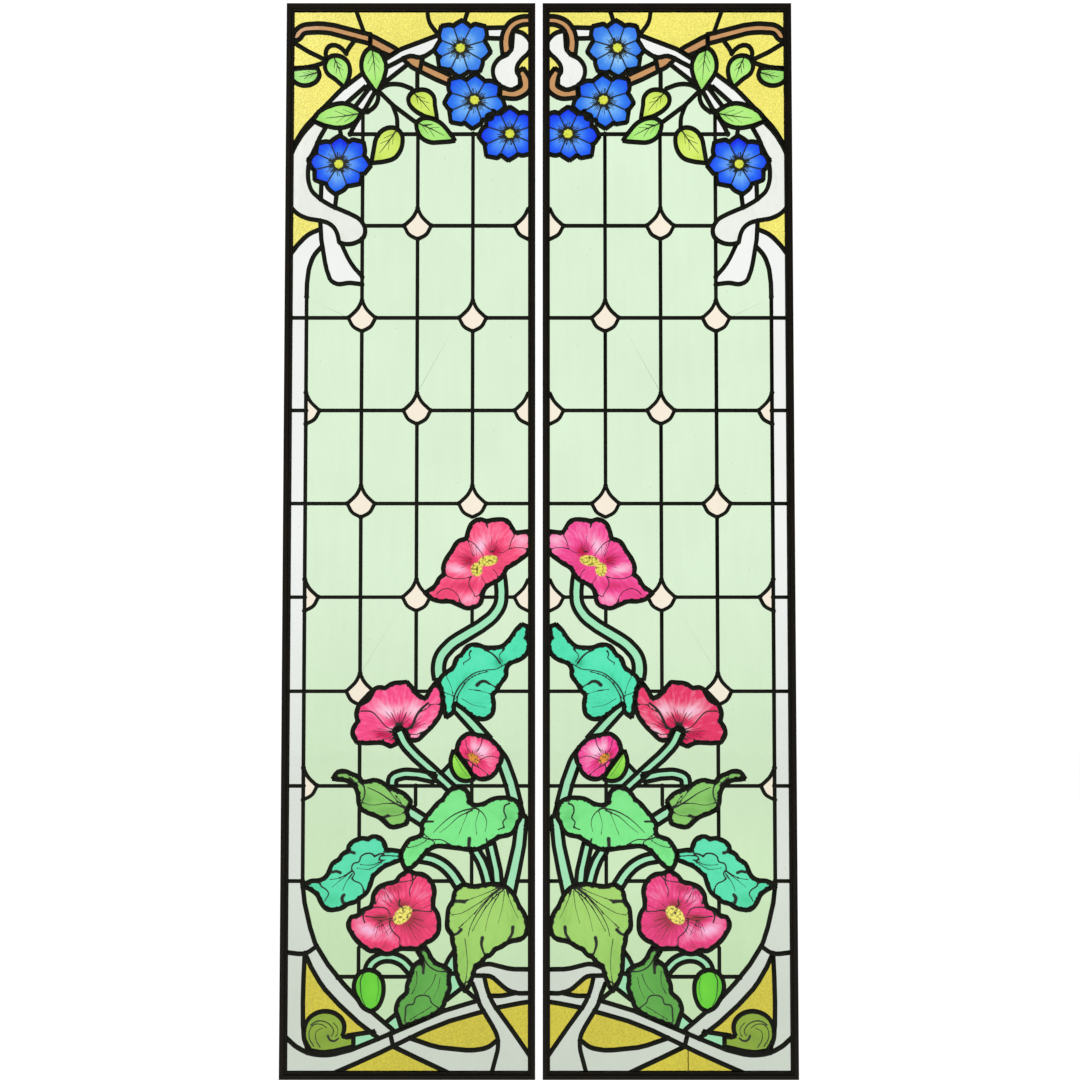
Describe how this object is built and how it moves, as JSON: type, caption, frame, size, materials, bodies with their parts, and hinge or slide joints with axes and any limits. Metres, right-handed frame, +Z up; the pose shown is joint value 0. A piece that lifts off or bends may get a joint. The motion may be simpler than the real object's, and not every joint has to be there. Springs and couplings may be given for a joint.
{
  "type": "stained glass window",
  "caption": "Tall two-leaf leaded glass window with clematis, poppies, leaves and ribbons on pale quarries, each leaf in a thin dark metal frame.",
  "frame": {"origin": "middle of the foot, half way through the glass, in the gap between the leaves", "axes": "+Z up along the leaves, +X to the right seen from the front, +Y towards the back"},
  "size_m": [0.974, 0.018, 2.05],
  "materials": {
    "frame": "dark brown-black, worn satin",
    "lead": "dark patinated lead, satin",
    "glass_quarry": "see-through, fire-polished",
    "glass_yellow": "fine hammered texture",
    "glass_cream": "see-through, fire-polished",
    "glass_mint": "see-through, fire-polished",
    "glass_white": "opalescent",
    "glass_brown": "see-through, fire-polished",
    "glass_blue": "enamel painted",
    "glass_leaf": "painted",
    "glass_lime": "painted",
    "glass_rose": "enamel painted",
    "glass_teal": "painted",
    "glass_green": "painted",
    "glass_olive": "painted",
    "glass_moss": "painted",
    "glass_bright_green": "painted"
  },
  "bodies": {
    "root": {"left_frame": "frame", "left_leadwork": "lead", "left_clematis_high": "glass_blue", "left_clematis_middle": "glass_blue", "left_clematis_edge": "glass_blue", "left_clematis_outer": "glass_blue", "left_leaf_border": "glass_leaf", "left_leaf_by_branch": "glass_leaf", "left_leaf_on_ribbon": "glass_leaf", "left_leaf_under_ribbon": "glass_leaf", "left_leaf_lime_high": "glass_lime", "left_leaf_by_clematis": "glass_leaf", "left_leaf_lime_low": "glass_lime", "left_poppy_high": "glass_rose", "left_poppy_side": "glass_rose", "left_poppy_bud": "glass_rose", "left_bud_sepal": "glass_bright_green", "left_poppy_low": "glass_rose", "left_leaf_teal_high": "glass_teal", "left_leaf_olive": "glass_olive", "left_leaf_bright": "glass_green", "left_leaf_teal_low": "glass_teal", "left_leaf_veined": "glass_olive", "left_leaf_dark": "glass_moss", "left_seed_pod": "glass_bright_green", "left_curled_frond": "glass_moss", "left_ribbon_outer": "glass_white", "left_ribbon_knot": "glass_white", "left_branch_long": "glass_brown", "left_branch_short": "glass_brown", "right_frame": "frame", "right_leadwork": "lead", "right_clematis_high": "glass_blue", "right_clematis_middle": "glass_blue", "right_clematis_edge": "glass_blue", "right_clematis_outer": "glass_blue", "right_leaf_border": "glass_leaf", "right_leaf_by_branch": "glass_leaf", "right_leaf_on_ribbon": "glass_leaf", "right_leaf_under_ribbon": "glass_leaf", "right_leaf_lime_high": "glass_lime", "right_leaf_by_clematis": "glass_leaf", "right_leaf_lime_low": "glass_lime", "right_poppy_high": "glass_rose", "right_poppy_side": "glass_rose", "right_poppy_bud": "glass_rose", "right_bud_sepal": "glass_bright_green", "right_poppy_low": "glass_rose", "right_leaf_teal_high": "glass_teal", "right_leaf_olive": "glass_olive", "right_leaf_bright": "glass_green", "right_leaf_teal_low": "glass_teal", "right_leaf_veined": "glass_olive", "right_leaf_dark": "glass_moss", "right_seed_pod": "glass_bright_green", "right_curled_frond": "glass_moss", "right_ribbon_outer": "glass_white", "right_ribbon_knot": "glass_white", "right_branch_long": "glass_brown", "right_branch_short": "glass_brown"}
  },
  "joints": []
}
